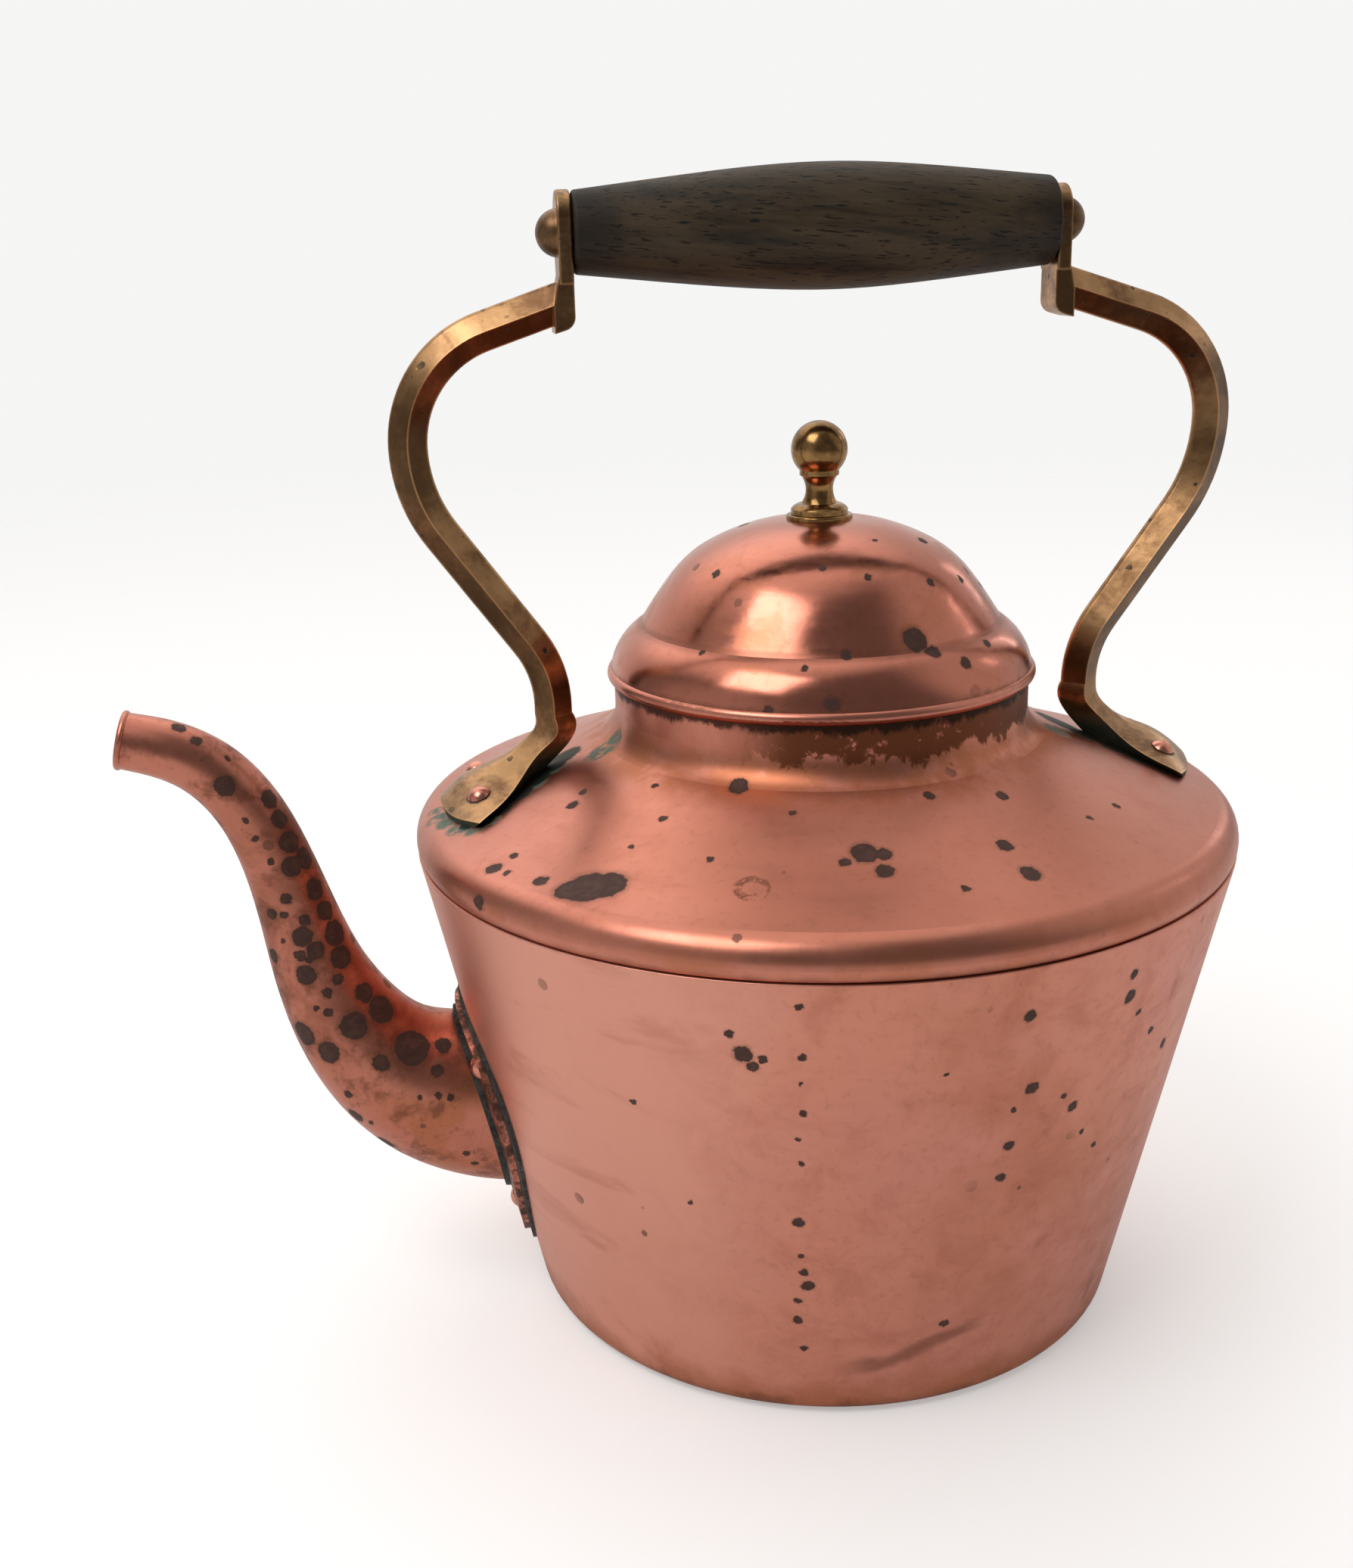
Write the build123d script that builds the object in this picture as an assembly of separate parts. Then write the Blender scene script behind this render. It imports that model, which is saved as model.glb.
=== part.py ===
from build123d import *
import os
from collections import namedtuple
from math import atan2, cos, radians, sin, sqrt, tan

# Copper kettle with a swan-neck spout, a strap handle with a wooden grip and a lift-off lid.
# Millimetres, +Z up. The origin is the centre of the base, the spout points along -X and
# the handle stands in the XZ plane. Radii are taken about the kettle's upright axis.

# Sheet
SHEET = 0.9                # pan, shoulder and spout
LID_SHEET = 0.8
FIT = 0.05                 # room for solder or for a shank in its hole

# Pan: flat bottom and tapered wall, set in at the top to pass under the shoulder's skirt
BASE_R = 78.3              # where the wall's line meets the bottom plane
WALL_SLOPE = 0.2135        # growth of the radius per millimetre of height
BASE_CORNER = 4.0
SET_IN = (124.3, 124.6)    # heights between which the wall steps in, just under the skirt
STEP_ROUND = 0.25
STEP_ROOT = 0.15
LAP_R = 103.2
LAP_TOP = 128.6

# Shoulder and neck
RIM_R = 105.0              # widest part of the kettle
RIM_ROLL = 7.0
RIM_Z = 127.4
SEAM_Z = 124.7             # lower edge of the shoulder's skirt
SHOULDER_BREAK = 16.0      # slope where the roll ends, degrees
SHOULDER_ROOT = 27.0       # slope where the neck's fillet begins, degrees
SHOULDER_POINTS = [(82.8, 139.5), (70.3, 144.6)]
NECK_R = 52.6
NECK_FILLET = 8.0
NECK_FILLET_Z = 157.8
NECK_TOP = 164.8

# Lid: a bead that rests on the neck, a rounded ring and a dome
BEAD_R = 1.65
BEAD_CENTRE = (52.65, 166.55)
BEAD_FLAT = 168.1
COLLAR_R = 51.1
COLLAR_BOTTOM = 152.5
COLLAR_LEDGE = 52.2
RING_R = 53.3
RING_MIDDLE = (50.9, 174.1)
RING_TOP = (45.7, 178.9)
DOME_POINTS = [(45.2, 179.6), (38.9, 188.9), (32.8, 195.4), (20.9, 201.6)]
DOME_FOOT_SLOPE = 57.0
DOME_TOP = 204.4

# Knob, its washers and its nut
STUD_R = 2.0
STUD_BOTTOM = 196.4
WASHER_R = 8.3
WASHER_TOP = 205.3
KNOB_FOOT_R = 7.1
KNOB_WAIST_R = 3.4
KNOB_COLLAR_R = 4.9
BALL_R = 7.0
BALL_Z = 221.1
BACK_WASHER_R = 6.5
BACK_WASHER_BOTTOM = 201.9
NUT_FLATS = 8.0
NUT_THICK = 3.2

# Handle: two brackets, a through rod with peened heads and a wooden grip
GRIP_Z = 273.3
GRIP_PLAY = 0.35           # between an end of the grip and its eye
GRIP_MIDDLE = [(-30.0, 12.5), (4.0, 14.5), (30.0, 12.95)]
GRIP_SPOUT_END_R = 9.4
GRIP_BACK_END_R = 10.3
GRIP_CHAMFER = 1.0
ROD_R = 2.5
ROD_RUNNING = 0.06
ROD_HEAD_R = 5.5
ROD_HEAD_H = 4.8
EYE_THICK = 3.4
EYE_WIDE = 12.6
HEEL_LOW = 252.2
HEEL_TOP = 262.0
HEEL_WIDE = 10.4
BAR_HALF = 5.6             # across the bar, before its outer corners are rounded
BAR_RIDGE = 5.0            # half width at the ridges
BAR_ROUND = 1.8
BAR_KNEE_R = 28.0
BAR_TOP_SLOPE = -18.0
BAR_LOW_SLOPE = -125.5
BAR_FOOT_Z = 158.2

# The two brackets are bent by hand and differ a little: inner face and top of the eye, farthest
# reach of the bar, its height, radii of the bends above and below it, and where the knee ends
Bend = namedtuple("Bend", "eye_in eye_top reach reach_z back_r hip_r knee_x")
BACK = Bend(57.2, 281.8, 101.2, 225.2, 27.4, 41.0, 69.5)
SPOUT_SIDE = Bend(59.2, 282.9, 100.1, 225.3, 27.8, 36.0, 68.6)

# Foot of a bracket: the bar is hammered out into a leaf-shaped pad. Each section is a flattened
# diamond: top (x, z), heading down the foot in degrees, half width, height of the top above
# the side ridges, height above the bottom, and the rounding of the top
Foot = namedtuple("Foot", "x z heading half crown deep top_round")
FOOT_SECTIONS = [
    Foot(79.4, 150.0, -30.0, 9.0, 4.9, 10.5, 3.5),
    Foot(84.5, 147.3, -25.0, 15.4, 6.3, 11.5, 8.0),
    Foot(91.4, 144.3, -27.0, 22.3, 6.6, 12.0, 16.0),
    Foot(97.3, 139.9, -40.0, 25.5, 6.7, 12.0, 20.0),
    Foot(102.5, 134.9, -44.0, 26.5, 6.6, 11.0, 20.0),
]
PAD_SLOPE = 19.0
PAD_ORIGIN = (89.7, 144.3)     # crest of the pad between its rivets
PAD_TIP = 10.4                 # along the pad from its origin
PAD_CORNER = (1.6, 23.0)
PAD_RIVET_LEAN = 15.5
PAD_RIVET_DROP = 2.7           # of a rivet's seat below the crest
PAD_RIVET_Y = 11.5
PAD_RIVET_R = 1.6
PAD_HEAD_R = 2.9
PAD_HEAD_H = 1.7
TAIL_H = 1.1                   # flattened tail of a rivet, inside the kettle

# Spout: round sections (x, z, radius, heading inwards from the mouth in degrees)
SPOUT_ROUND = [
    (-174.2, 158.1, 7.0, -14.0),
    (-166.1, 155.8, 7.3, -19.0),
    (-154.5, 149.4, 7.75, -41.0),
    (-146.1, 138.9, 8.15, -59.0),
    (-140.5, 125.4, 8.7, -71.0),
    (-136.3, 109.5, 9.85, -76.0),
    (-131.6, 92.0, 12.05, -71.5),
    (-126.3, 79.4, 14.25, -60.0),
]
# and oval ones (x, z, half width, half height, heading)
SPOUT_OVAL = [
    (-119.5, 68.6, 16.3, 16.6, -42.0),
    (-107.8, 58.6, 17.4, 20.6, -15.0),
    (-93.3, 53.4, 17.5, 24.4, 9.5),
    (-78.0, 55.9, 17.5, 24.4, 9.5),
]
LIP_R = 0.9

# Plate that carries the spout
WALL_HOLE = (13.0, 18.0, 51.5)       # half width, half height, centre height
BED_THICK = 0.9
BED_PROUD = 2.6                       # of the plate's edge, where the solder ran out
PLATE_THICK = 1.5
SEAM_WIDE = 1.5
SEAM_HIGH = 1.3
PLATE_OUTLINE = [(0, 82.4), (12, 80.4), (19.5, 76.5), (25.0, 69), (26.6, 60), (24.6, 47), (17.5, 30)]
PLATE_FOOT = (0, 14.8)
SPOUT_RIVETS = [(20.4, 71.5), (-20.4, 71.5), (0.0, 21.4)]
SPOUT_RIVET_R = 1.4
SPOUT_HEAD_R = 2.9
SPOUT_HEAD_H = 1.6

FAR = 400.0


def spun(outline):
    """Solid of revolution about the kettle's axis from a closed (radius, height) outline."""
    return revolve(Plane.XZ * make_face(outline), Axis.Z)


def polar(centre, radius, degrees_up):
    a = radians(degrees_up)
    return (centre[0] + radius * cos(a), centre[1] + radius * sin(a))


def arc(centre, radius, start, end):
    middle = (start + end) / 2
    return ThreePointArc(
        polar(centre, radius, start),
        polar(centre, radius, middle),
        polar(centre, radius, end),
    )


def xz(point):
    return (point[0], 0, point[1])


def xz_arc(centre, radius, start, end):
    """The same arc drawn in the XZ plane."""
    points = [polar(centre, radius, a) for a in (start, (start + end) / 2, end)]
    return ThreePointArc(*[xz(p) for p in points])


def wall_r(z, outward=0.0):
    """Outside radius of the wall's line at height z, moved out along its normal."""
    return BASE_R + WALL_SLOPE * z + outward * sqrt(1 + WALL_SLOPE**2)


def domed_head(radius, height, shank_r, shank):
    """A rivet head on the XY plane, a cap of a ball, with its shank below."""
    ball_r = (radius**2 + height**2) / (2 * height)
    half_way = atan2(radius, ball_r - height) / 2
    middle = (ball_r * sin(half_way), height - ball_r + ball_r * cos(half_way))
    outline = Polyline((0, height), (0, -shank), (shank_r, -shank), (shank_r, 0), (radius, 0))
    cap = ThreePointArc((radius, 0), middle, (0, height))
    return revolve(Plane.XZ * make_face(outline + cap), Axis.Z)


# ---------------------------------------------------------------- pan and shoulder

def pan_region(inset, top):
    """Everything inside the pan's outer surface, or inside its inner one."""
    step_low, step_high = [z - 0.9 * inset for z in SET_IN]
    points = [
        (0, inset),
        (wall_r(inset, -inset), inset),
        (wall_r(step_low, -inset), step_low),
        (LAP_R - inset, step_high),
        (LAP_R - inset, top),
        (0, top),
    ]
    face = make_face(Polyline(*points, close=True))
    rounds = [(points[1], BASE_CORNER - inset), (points[2], STEP_ROUND), (points[3], STEP_ROOT)]
    for (r, z), radius in rounds:
        face = fillet(face.vertices().sort_by_distance((r, z, 0))[0], radius)
    return revolve(Plane.XZ * face, Axis.Z)


def make_pan():
    pan = pan_region(0.0, LAP_TOP) - pan_region(SHEET, LAP_TOP + 5)
    half_wide, half_high, z = WALL_HOLE
    hole = extrude(Plane.YZ * Pos(0, z) * Ellipse(half_wide, half_high), -FAR)
    return pan - hole


def shoulder_region(inset, low, high):
    """Everything under the shoulder's outer surface, or under its inner one."""
    under = arc((RIM_R - 5.5, RIM_Z), 5.5, -29.0, 0)
    roll = arc((RIM_R - RIM_ROLL, RIM_Z), RIM_ROLL - inset, 0, 90 - SHOULDER_BREAK)
    fillet_centre = (NECK_R + NECK_FILLET, NECK_FILLET_Z)
    hollow = arc(fillet_centre, NECK_FILLET + inset, 270 - SHOULDER_ROOT, 180)
    slope = radians((SHOULDER_BREAK + SHOULDER_ROOT) / 2)
    middle = [(r - inset * sin(slope), z - inset * cos(slope)) for r, z in SHOULDER_POINTS]
    top = Spline(roll @ 1, *middle, hollow @ 0, tangents=[roll % 1, hollow % 0])
    end = hollow @ 1
    if inset:
        skirt_r = LAP_R + FIT
        skirt = Polyline((skirt_r, low), (skirt_r, RIM_Z), roll @ 0)
        start = (skirt_r, low)
    else:
        skirt = under
        start = under @ 0
    closing = Polyline((end.X, end.Y), (end.X, high), (0, high), (0, low), start)
    return spun(skirt + roll + top + hollow + closing)


def make_shoulder():
    low = RIM_Z - 5.5 * sin(radians(29.0))
    return shoulder_region(0.0, low, NECK_TOP) - shoulder_region(SHEET, low - 5, NECK_TOP + 5)


# ---------------------------------------------------------------- lid

def lid_region(inset, low):
    """Everything under the lid's outer surface, or under its inner one."""
    ring = ThreePointArc(
        (RING_R - inset, BEAD_FLAT),
        (RING_MIDDLE[0] - 0.88 * inset, RING_MIDDLE[1] - 0.45 * inset),
        (RING_TOP[0] - 0.3 * inset, RING_TOP[1] - 1.2 * inset),
    )
    slope = radians(DOME_FOOT_SLOPE)
    lean = [0.84, 0.78, 0.66, 0.32]
    points = [
        (r - inset * k, z - inset * sqrt(1 - k * k))
        for (r, z), k in zip(DOME_POINTS, lean)
    ]
    joint = Line(ring @ 1, points[0])
    dome = Spline(*points, (0, DOME_TOP - inset), tangents=[(-cos(slope), sin(slope)), (-1, 0)])
    closing = Polyline((0, DOME_TOP - inset), (0, low), (RING_R - inset, low), ring @ 0)
    return spun(ring + joint + dome + closing)


def make_lid_dome():
    outside = lid_region(0.0, BEAD_FLAT - 1)
    inside = lid_region(LID_SHEET, BEAD_FLAT - 3)
    below = Pos(0, 0, BEAD_FLAT - 5) * Cylinder(70, 10)
    hole = Pos(0, 0, DOME_TOP - 5) * Cylinder(STUD_R + FIT, 20)
    return outside - inside - below - hole


def make_lid_bead():
    bead = Pos(0, 0, BEAD_CENTRE[1]) * Torus(BEAD_CENTRE[0], BEAD_R)
    bore = Pos(0, 0, BEAD_CENTRE[1]) * Cylinder(COLLAR_R + FIT, 4 * BEAD_R)
    above = Pos(0, 0, BEAD_FLAT + 2) * Cylinder(70, 4)
    return bead - bore - above


def make_lid_collar():
    inner = COLLAR_R - LID_SHEET
    top = BEAD_FLAT + LID_SHEET
    outline = Polyline(
        (inner, COLLAR_BOTTOM),
        (COLLAR_R, COLLAR_BOTTOM),
        (COLLAR_R, BEAD_FLAT),
        (COLLAR_LEDGE, BEAD_FLAT),
        (COLLAR_LEDGE, top),
        (inner, top),
        close=True,
    )
    return spun(outline)


def make_knob():
    ball_foot_z = BALL_Z - sqrt(BALL_R**2 - KNOB_COLLAR_R**2)
    outline = Polyline(
        (0, STUD_BOTTOM),
        (STUD_R, STUD_BOTTOM),
        (STUD_R, WASHER_TOP),
        (KNOB_FOOT_R, WASHER_TOP),
        (KNOB_FOOT_R, WASHER_TOP + 1.3),
    )
    foot = ThreePointArc((KNOB_FOOT_R, WASHER_TOP + 1.3), (6.3, 207.4), (4.5, 208.0))
    waist = ThreePointArc((4.5, 208.0), (KNOB_WAIST_R, 211.2), (4.3, 214.4))
    collar = Polyline((4.3, 214.4), (KNOB_COLLAR_R, 214.9), (KNOB_COLLAR_R, ball_foot_z))
    ball = ThreePointArc((KNOB_COLLAR_R, ball_foot_z), (BALL_R, BALL_Z), (0, BALL_Z + BALL_R))
    closing = Line((0, BALL_Z + BALL_R), (0, STUD_BOTTOM))
    return spun(outline + foot + waist + collar + ball + closing)


def make_knob_washer():
    disc = Pos(0, 0, WASHER_TOP - 2) * Cylinder(WASHER_R, 4)
    disc = fillet(disc.edges().filter_by(GeomType.CIRCLE).sort_by(Axis.Z)[-1], 0.5)
    bore = Pos(0, 0, WASHER_TOP) * Cylinder(STUD_R + FIT, 20)
    return disc - bore - lid_region(0.0, BEAD_FLAT - 1)


def make_back_washer():
    disc = Pos(0, 0, BACK_WASHER_BOTTOM + 2) * Cylinder(BACK_WASHER_R, 4)
    bore = Pos(0, 0, BACK_WASHER_BOTTOM) * Cylinder(STUD_R + FIT, 20)
    return (disc & lid_region(LID_SHEET, BEAD_FLAT - 1)) - bore


def make_nut():
    low = BACK_WASHER_BOTTOM - NUT_THICK
    blank = extrude(Pos(0, 0, low) * RegularPolygon(NUT_FLATS / 2, 6, major_radius=False), NUT_THICK)
    crown = Pos(0, 0, low + NUT_THICK / 2) * Cylinder(NUT_FLATS * 0.56, NUT_THICK)
    bore = Pos(0, 0, low) * Cylinder(STUD_R + FIT, 20)
    return (blank & crown) - bore


# ---------------------------------------------------------------- handle

def along(start, slope, x):
    """Point at x on the line through start with a slope in degrees."""
    return (x, start[1] + (x - start[0]) * tan(radians(slope)))


def bar_path(bend):
    """Pieces of the bar's centre line, from inside the eye down to the foot, and its start."""
    top, low = BAR_TOP_SLOPE, BAR_LOW_SLOPE
    back_centre = (bend.reach - bend.back_r, bend.reach_z)
    hip_centre = (bend.reach - bend.hip_r, bend.reach_z)
    back_start = polar(back_centre, bend.back_r, top + 90)
    start = along(back_start, top, bend.eye_in + 2.0)
    hip_end = polar(hip_centre, bend.hip_r, low + 90)
    knee_shift = BAR_KNEE_R * (1 + cos(radians(low - 90)))
    knee_start = along(hip_end, low, bend.knee_x + knee_shift)
    knee_z = knee_start[1] - BAR_KNEE_R * sin(radians(low - 90))
    pieces = [
        Line(xz(start), xz(back_start)),
        xz_arc(back_centre, bend.back_r, top + 90, 0),
        xz_arc(hip_centre, bend.hip_r, 0, low + 90),
        Line(xz(hip_end), xz(knee_start)),
        xz_arc((bend.knee_x + BAR_KNEE_R, knee_z), BAR_KNEE_R, low + 270, 180),
        Line((bend.knee_x, 0, knee_z), (bend.knee_x, 0, BAR_FOOT_Z)),
    ]
    return pieces, start


def bar_section(start):
    """Diamond section with crisp ridges front and back and rounded outer and inner corners."""
    a = radians(BAR_TOP_SLOPE)
    plane = Plane(origin=xz(start), x_dir=(0, 1, 0), z_dir=(cos(a), 0, sin(a)))
    face = make_face(
        Polyline((BAR_RIDGE, 0), (0, BAR_HALF), (-BAR_RIDGE, 0), (0, -BAR_HALF), close=True)
    )
    corners = face.vertices().group_by(Axis.X)[1]
    return plane * fillet(corners, BAR_ROUND)


def make_eye(bend):
    """Flattened end of the bar, turned up beside the grip."""
    radius = EYE_WIDE / 2
    tall = bend.eye_top - radius - HEEL_TOP
    plate = Rectangle(EYE_WIDE, tall, align=(Align.CENTER, Align.MAX)) + Circle(radius)
    plate = extrude(Plane.YZ * Pos(0, bend.eye_top - radius) * plate, EYE_THICK)
    plate = fillet(plate.edges().filter_by(GeomType.CIRCLE), 0.6)
    outline = Polyline(
        (0, HEEL_LOW),
        (0, HEEL_TOP + 2),
        (EYE_THICK, HEEL_TOP + 2),
        (EYE_THICK + 1.5, HEEL_LOW + 5),
        (EYE_THICK + 1.5, HEEL_LOW - 1.4),
        close=True,
    )
    face = make_face(outline)
    corner = face.vertices().sort_by_distance((0, HEEL_LOW, 0))[0]
    heel = extrude(Plane.XZ * fillet(corner, 3.2), HEEL_WIDE / 2, both=True)
    return Pos(bend.eye_in, 0, 0) * (plate + heel)


def pad_plane():
    a = radians(PAD_SLOPE)
    x, z = PAD_ORIGIN
    return Plane(origin=(x, 0, z), x_dir=(cos(a), 0, -sin(a)), z_dir=(sin(a), 0, cos(a)))


def foot_face(foot):
    """Flattened diamond section of the foot, square to its heading."""
    a = radians(foot.heading)
    plane = Plane(origin=(foot.x, 0, foot.z), x_dir=(0, 1, 0), z_dir=(cos(a), 0, sin(a)))
    corners = [(foot.half, -foot.crown), (0, 0), (-foot.half, -foot.crown), (0, -foot.deep)]
    face = make_face(Polyline(*corners, close=True))
    for corner, radius in ((corners[1], foot.top_round), (corners[3], BAR_ROUND)):
        face = fillet(face.vertices().sort_by_distance((*corner, 0))[0], radius)
    return plane * face


def make_foot(bend):
    """Bar running out into the pad, with the pad's tip rounded off."""
    top = bend.knee_x + BAR_HALF
    neck = [
        Foot(top, BAR_FOOT_Z, -90.0, BAR_RIDGE, BAR_HALF, 2 * BAR_HALF, BAR_ROUND),
        Foot(top + 0.5, BAR_FOOT_Z - 4.0, -62.0, 5.6, 5.0, 10.9, BAR_ROUND),
    ]
    foot = loft([foot_face(section) for section in neck + FOOT_SECTIONS])
    corner_s, half = PAD_CORNER
    tip = ThreePointArc((corner_s, half), (PAD_TIP, 0), (corner_s, -half))
    rest = Polyline((corner_s, -half), (0, -30), (-40, -30), (-40, 30), (0, 30), (corner_s, half))
    outline = extrude(pad_plane() * make_face(tip + rest), 40, both=True)
    return foot & outline


def pad_rivet_places():
    """Frames on the pad's crowned top, with +Z outwards."""
    return [
        pad_plane() * Pos(0, side * PAD_RIVET_Y, -PAD_RIVET_DROP) * Rot(-side * PAD_RIVET_LEAN, 0, 0)
        for side in (1, -1)
    ]


def make_bracket(bend):
    """One bracket, built behind the grip; the spout's one is mirrored into place."""
    pieces, start = bar_path(bend)
    bar = sweep(bar_section(start), path=Wire(pieces))
    bracket = bar + make_eye(bend) + make_foot(bend)
    bracket -= Pos(bend.eye_in, 0, GRIP_Z) * Rot(0, 90, 0) * Cylinder(ROD_R + FIT, 30)
    for place in pad_rivet_places():
        bracket -= place * Cylinder(PAD_RIVET_R + FIT, 40)
        bracket -= place * Pos(0, 0, 2) * Cylinder(PAD_HEAD_R, 4)
    return bracket - shoulder_region(0.0, SEAM_Z, NECK_TOP)


def make_pad_rivets():
    """Two rivets of one pad: domed heads above, flattened tails inside the kettle."""
    inside = shoulder_region(SHEET, SEAM_Z, NECK_TOP)
    rivets = []
    for place in pad_rivet_places():
        head = place * domed_head(PAD_HEAD_R, PAD_HEAD_H, PAD_RIVET_R, 9.5)
        tail = place * Pos(0, 0, -7.5) * Cylinder(PAD_HEAD_R, 6.5)
        ceiling = shoulder_region(SHEET + TAIL_H, SEAM_Z, NECK_TOP)
        rivets.append((head + (tail & inside)) - ceiling)
    return rivets


def make_grip():
    left = (GRIP_PLAY - SPOUT_SIDE.eye_in, GRIP_SPOUT_END_R)
    right = (BACK.eye_in - GRIP_PLAY, GRIP_BACK_END_R)
    barrel = Spline(left, *GRIP_MIDDLE, right)
    ends = Polyline(right, (right[0], 0), (left[0], 0), left)
    face = make_face(barrel + ends)
    corners = [face.vertices().sort_by_distance((p[0], p[1], 0))[0] for p in (left, right)]
    grip = revolve(Plane.XZ * fillet(corners, GRIP_CHAMFER), Axis.X)
    return Pos(0, 0, GRIP_Z) * (grip - Rot(0, 90, 0) * Cylinder(ROD_R + ROD_RUNNING, FAR))


def make_rod():
    """Rod through both eyes and the grip, closed over the eyes at both ends."""
    halves = []
    for bend in (BACK, SPOUT_SIDE):
        outer = bend.eye_in + EYE_THICK
        head = domed_head(ROD_HEAD_R, ROD_HEAD_H, ROD_R, outer)
        halves.append(Pos(outer, 0, GRIP_Z) * Rot(0, 90, 0) * head)
    return halves[0] + mirror(halves[1], Plane.YZ)


# ---------------------------------------------------------------- spout

def spout_region(grow):
    """Solid along the spout's curved axis, its sections grown or shrunk."""
    sections = [(x, z, r, r, a) for x, z, r, a in SPOUT_ROUND] + SPOUT_OVAL
    faces = []
    for x, z, half_wide, half_high, heading in sections:
        a = radians(heading)
        plane = Plane(origin=(x, 0, z), x_dir=(0, 1, 0), z_dir=(cos(a), 0, sin(a)))
        faces.append(plane * Ellipse(half_wide + grow, half_high + grow))
    return loft(faces)


def make_spout():
    x, z, radius, heading = SPOUT_ROUND[0]
    tube = spout_region(0.0) - spout_region(-SHEET)
    lip = Pos(x, 0, z) * Rot(0, 90 - heading, 0) * Torus(radius - SHEET / 2, LIP_R)
    return tube + lip - pan_region(0.0, LAP_TOP)


def wall_layer(low, high):
    """Layer of even thickness around the pan's wall."""
    z0, z1 = 8.0, 92.0
    outline = Polyline(
        (wall_r(z0, low), z0),
        (wall_r(z0, high), z0),
        (wall_r(z1, high), z1),
        (wall_r(z1, low), z1),
        close=True,
    )
    return spun(outline)


def plate_blank(grow):
    """Shield outline of the spout's plate, cut out towards the spout."""
    half, middle, reach = 26.6, 48.7, 33.9
    grown = [
        (y * (1 + grow / half), middle + (z - middle) * (1 + grow / reach))
        for y, z in PLATE_OUTLINE + [PLATE_FOOT]
    ]
    top, *near, foot = grown
    far = [(-y, z) for y, z in near]
    ring = Spline(foot, *reversed(near), top, *far, periodic=True)
    return extrude(Plane.YZ * make_face(ring), -FAR)


def make_spout_plate():
    layer = wall_layer(BED_THICK, BED_THICK + PLATE_THICK) & plate_blank(0.0)
    plate = layer - spout_region(FIT)
    for place in spout_rivet_places():
        plate -= place * Cylinder(SPOUT_RIVET_R + FIT, 20)
    return plate


def make_solder_bed():
    bed = (wall_layer(0.0, BED_THICK) & plate_blank(BED_PROUD)) - spout_region(FIT)
    for place in spout_rivet_places():
        bed -= place * Cylinder(SPOUT_RIVET_R + FIT, 20)
    return bed


def make_spout_seam():
    """Bead of solder around the foot of the spout."""
    low = BED_THICK + PLATE_THICK
    ring = wall_layer(low, low + SEAM_HIGH) & spout_region(SEAM_WIDE)
    return ring - spout_region(FIT)


def spout_rivet_places():
    """Frames on the plate's outer face, with +Z outwards."""
    places = []
    reach = BED_THICK + PLATE_THICK
    for y, z in SPOUT_RIVETS:
        r = wall_r(z, reach)
        x = -sqrt(r * r - y * y)
        rise = sqrt(1 + WALL_SLOPE**2)
        normal = (x / r / rise, y / r / rise, -WALL_SLOPE / rise)
        places.append(Plane(origin=(x, y, z), z_dir=normal))
    return places


def make_spout_rivets():
    inside = pan_region(SHEET, LAP_TOP)
    ceiling = pan_region(SHEET + TAIL_H, LAP_TOP)
    rivets = []
    for place in spout_rivet_places():
        head = place * domed_head(SPOUT_HEAD_R, SPOUT_HEAD_H, SPOUT_RIVET_R, 6.0)
        tail = place * Pos(0, 0, -5.5) * Cylinder(SPOUT_HEAD_R, 5.4)
        rivets.append((head + (tail & inside)) - ceiling)
    return rivets


# ---------------------------------------------------------------- parts

def bored(part, places, radius):
    for place in places:
        part -= place * Cylinder(radius, 40)
    return part


def main():
    pad_rivets = make_pad_rivets()
    shoulder = make_shoulder()
    for place in pad_rivet_places():
        hole = place * Cylinder(PAD_RIVET_R + FIT, 30)
        shoulder = shoulder - hole - mirror(hole, Plane.YZ)
    pan = bored(make_pan(), spout_rivet_places(), SPOUT_RIVET_R + FIT)
    nodes = {
        "body_pan": pan,
        "shoulder": shoulder,
        "spout": make_spout(),
        "spout_plate": make_spout_plate(),
        "spout_solder_bed": make_solder_bed(),
        "spout_seam": make_spout_seam(),
        "spout_rivets": Compound(children=make_spout_rivets()),
        "bracket_back": make_bracket(BACK),
        "bracket_spout": mirror(make_bracket(SPOUT_SIDE), Plane.YZ),
        "rivets_back": Compound(children=pad_rivets),
        "rivets_spout": Compound(children=[mirror(r, Plane.YZ) for r in pad_rivets]),
        "handle_rod": make_rod(),
        "handle_grip": make_grip(),
        "lid_dome": make_lid_dome(),
        "lid_bead": make_lid_bead(),
        "lid_collar": make_lid_collar(),
        "knob": make_knob(),
        "knob_washer": make_knob_washer(),
        "knob_back_washer": make_back_washer(),
        "knob_nut": make_nut(),
    }
    os.makedirs("parts", exist_ok=True)
    for name, part in nodes.items():
        export_step(part, f"parts/{name}.step")


main()
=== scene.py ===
from math import cos, pi, sin
from random import Random

import bpy
from mathutils import Matrix, Vector
from mathutils.bvhtree import BVHTree


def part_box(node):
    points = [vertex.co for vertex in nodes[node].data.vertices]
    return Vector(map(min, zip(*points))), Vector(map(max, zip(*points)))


# The copper kettle's finish: satin copper with tarnish spots, patinated brass, worn wood and
# blackened solder, in a plain pale studio. Colours are linear. Sizes in the materials are in
# mm; the camera, the floor and the lights are in metres.

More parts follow.
